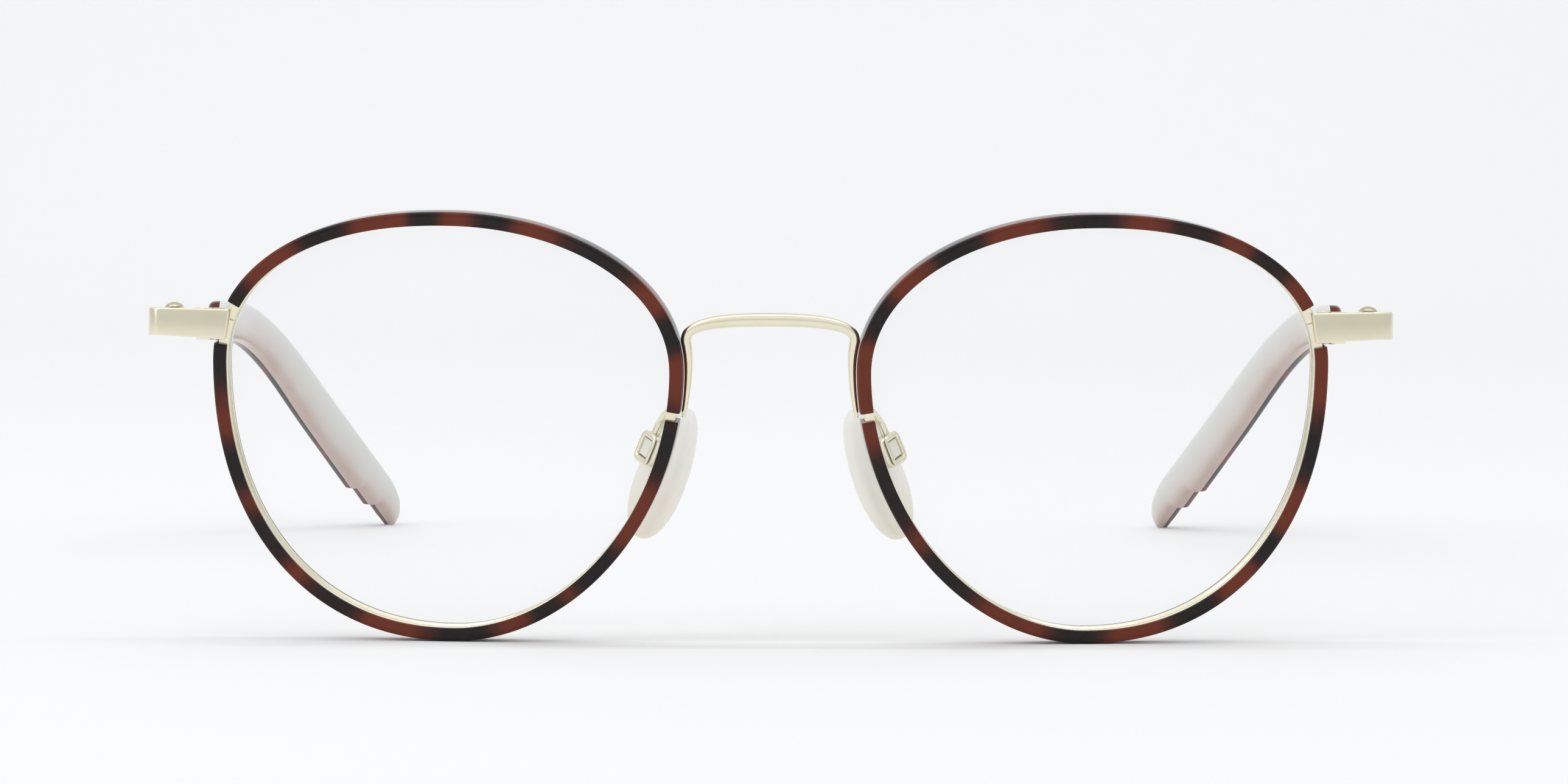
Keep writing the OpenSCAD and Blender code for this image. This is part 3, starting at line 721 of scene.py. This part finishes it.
def temple_shaft(side):
    """Flat band that narrows to the core just before the acetate tip."""
    taper_from, taper_to = TIP_START - 6, TIP_START - 1
    stops = [0, 0.06, 0.15, *np.arange(2, taper_from, 6), *np.linspace(taper_from, taper_to, 17),
             *np.arange(TIP_START + 2, TEMPLE_LENGTH - CORE_STOP, 3)]
    rings = []
    for s in stops:
        full = 1 - ease((s - taper_from) / (taper_to - taper_from))
        w = CORE_T + (BAND_T - CORE_T) * full
        h = CORE_H + (BAND_H - CORE_H) * full
        trim = 0.05 if s == 0 else 0
        section = fillet([
            (w / 2 - trim, h / 2 - trim, 0.22), (w / 2 - trim, trim - h / 2, 0.22),
            (trim - w / 2, trim - h / 2, 0.14), (trim - w / 2, h / 2 - trim, 0.14)], steps=4)
        rings.append(temple_ring(s, section))
    build(f"{side}_temple_band", f"{side}_temple", rings, CHAMPAGNE, side,
          replaces=[f"{side}_temple_shaft"])


def tip_stops():
    """Distances of the tip's rings: close where its shape changes."""
    near_mouth = [TIP_START + k for k in (0, 0.25, 0.7, 1.5)]
    middle = list(np.arange(TIP_START + 3, TEMPLE_LENGTH - 11.5, 1.5))
    near_end = list(np.arange(TEMPLE_LENGTH - 11.2, TEMPLE_LENGTH - 1.2, 0.25))
    last = [TEMPLE_LENGTH - k for k in (1.0, 0.75, 0.5, 0.3, 0.15, 0.05, 0)]
    return near_mouth + middle + near_end + last


def tip_section(s, sign, thickness):
    """Half of the tip, outside for sign 1 and inside for -1, with rounded outer corners."""
    near_mouth = 1 - min(1.0, (s - TIP_START) / TIP_MOUTH)
    rounded = 1 - 0.3 * near_mouth ** 2
    high, low = tip_high(s) * rounded, tip_low(s) * rounded
    to_end = min(1.0, 0.6 + 0.4 * math.sqrt(min(1.0, (TEMPLE_LENGTH - s) / 2)))
    t = thickness * to_end * (1 - 0.25 * near_mouth)
    r = min(1.1, t * 0.75, (high - low) * 0.35)
    seam = 0.02
    return fillet([
        (sign * seam, high, 0.06), (sign * t, high, r),
        (sign * t, low, r), (sign * seam, low, 0.06)], steps=7)


def temple_tip(side):
    """Outer tortoise layer and inner milky layer, laid on each other along one plane."""
    def tone(s, up):
        drift = 1.6 * math.sin(s * 0.29) + 0.5 * up
        return 0.5 + 0.5 * math.sin((s - TIP_START) * 0.42 + drift - 0.9)

    def height(s, up):
        return (up - tip_low(s)) / (tip_high(s) - tip_low(s))

    for layer, sign, thickness, slot, material, key, value in (
            ("outer", 1, TIP_OUT, "tortoise_acetate", TORTOISE, "tone", tone),
            ("liner", -1, TIP_IN, "milky_acetate", MILKY, "height", height)):
        sections = [(s, tip_section(s, sign, thickness)) for s in tip_stops()]
        rings = [temple_ring(s, section) for s, section in sections]
        values = [value(s, q[1]) for s, section in sections for q in section]
        build(f"{side}_tip_{layer}_layer", f"{side}_temple", rings, material, side,
              attributes={key: values}, replaces=[f"{side}_tip_{layer}"])


# ---------- CAD nodes that keep their shape ----------

def dress(node, material, bevel):
    """Gives a CAD node its material and softens its edges."""
    piece = frame["nodes"][node]
    piece.data.materials.clear()
    piece.data.materials.append(material)
    weld = piece.modifiers.new("weld", "WELD")
    weld.merge_threshold = 0.002 * MM
    edges = piece.modifiers.new("edges", "BEVEL")
    edges.width = bevel * MM
    edges.segments = 3
    edges.limit_method = "ANGLE"
    edges.angle_limit = math.radians(40)
    edges.harden_normals = True


for side in SIDES:
    rim_cover(side, "upper", COVER_TOP_T, NOSE_GAP_T - NOSE_GAP_HALF)
    rim_cover(side, "lower", NOSE_GAP_T + NOSE_GAP_HALF, 360 + COVER_LOW_T)
    eyewire(side)
    lens(side)
    endpiece(side)
    nose_pad(side)
    pad_arm(side)
    pad_box(side)
    temple_shaft(side)
    temple_tip(side)
    for kept in ("closing_block_upper", "closing_block_lower", "front_hinge", "temple_hinge"):
        dress(f"{side}_{kept}", CHAMPAGNE, 0.06)
    for kept in ("rim_screw", "hinge_screw"):
        dress(f"{side}_{kept}", SCREW, 0.04)
    dress(f"{side}_pad_stem", STEM, 0.06)
bridge()


# ---------- Floor, light and camera ----------

def backdrop():
    """Floor that sweeps up into a wall behind the glasses, in one pale sheet."""
    half_width, front, back, radius, height = 3.0, -3.0, 1.4, 0.6, 3.0
    steps = 24
    profile = [(front, 0.0)]
    for k in range(steps + 1):
        a = math.radians(90 * k / steps)
        profile.append((back - radius + radius * math.sin(a), radius - radius * math.cos(a)))
    profile.append((back, height))
    points = [(x, y, z) for y, z in profile for x in (-half_width, half_width)]
    faces = [(2 * i, 2 * i + 1, 2 * i + 3, 2 * i + 2) for i in range(len(profile) - 1)]
    mesh = bpy.data.meshes.new("studio_sheet")
    mesh.from_pydata(points, [], faces)
    for polygon in mesh.polygons:
        polygon.use_smooth = True
    mesh.materials.append(plain("studio_paper", (0.9, 0.905, 0.915, 1), Roughness=0.9))
    sheet = bpy.data.objects.new("studio_sheet", mesh)
    scene.collection.objects.link(sheet)


def area_light(name, place, aim, size, power):
    data = bpy.data.lights.new(name, "AREA")
    data.shape = "RECTANGLE"
    data.size, data.size_y = size
    data.energy = power
    light = bpy.data.objects.new(name, data)
    light.location = place
    light.rotation_euler = (Vector(aim) - Vector(place)).to_track_quat("-Z", "Y").to_euler()
    scene.collection.objects.link(light)


def camera():
    """Camera a little above the glasses, about 35 cm in front of the rims."""
    position = (2.307, -418.98, 47.90)
    yaw, pitch, roll = 0.00233, 0.05711, 0.003708
    forward = Vector((-math.sin(yaw), math.cos(yaw), 0))
    right = Vector((math.cos(yaw), math.sin(yaw), 0))
    up = Vector((0, 0, 1))
    look = forward * math.cos(pitch) - up * math.sin(pitch)
    raised = up * math.cos(pitch) + forward * math.sin(pitch)
    across = right * math.cos(roll) + raised * math.sin(roll)
    above = raised * math.cos(roll) - right * math.sin(roll)
    data = bpy.data.cameras.new("camera")
    data.sensor_width = 36
    data.lens = 75.32
    data.clip_start, data.clip_end = 0.01, 20
    eye = bpy.data.objects.new("camera", data)
    turn = Matrix((across, above, -look)).transposed()
    eye.matrix_world = Matrix.Translation(Vector(position) * MM) @ turn.to_4x4()
    scene.collection.objects.link(eye)
    scene.camera = eye


def world():
    """Near-white surroundings, a little darker low down, so that metal shows its edges."""
    sky = bpy.data.worlds.new("studio")
    scene.world = sky
    sky.use_nodes = True
    tree = sky.node_tree
    shade = tree.nodes["Background"]
    shade.inputs["Strength"].default_value = 0.94
    place = tree.nodes.new("ShaderNodeTexCoord")
    split = tree.nodes.new("ShaderNodeSeparateXYZ")
    ramp = tree.nodes.new("ShaderNodeValToRGB")
    for element, position, grey in zip(ramp.color_ramp.elements, (0, 0.5), (0.62, 1)):
        element.position = position
        element.color = (grey, grey, grey, 1)
    tree.links.new(place.outputs["Generated"], split.inputs["Vector"])
    tree.links.new(split.outputs["Z"], ramp.inputs["Fac"])
    tree.links.new(ramp.outputs["Color"], shade.inputs["Color"])


backdrop()
world()
area_light("top_strip", (0, -0.12, 0.9), (0, -0.02, 0), (1.3, 0.04), 1.4)
area_light("key_strip", (-0.8, -0.45, 0.55), (0, -0.05, 0.03), (0.06, 0.9), 1.2)
area_light("sweep_wash", (0, 1.0, 1.0), (0, 1.25, 0.1), (2.4, 0.3), 1.6)
camera()
scene.view_settings.view_transform = "Standard"
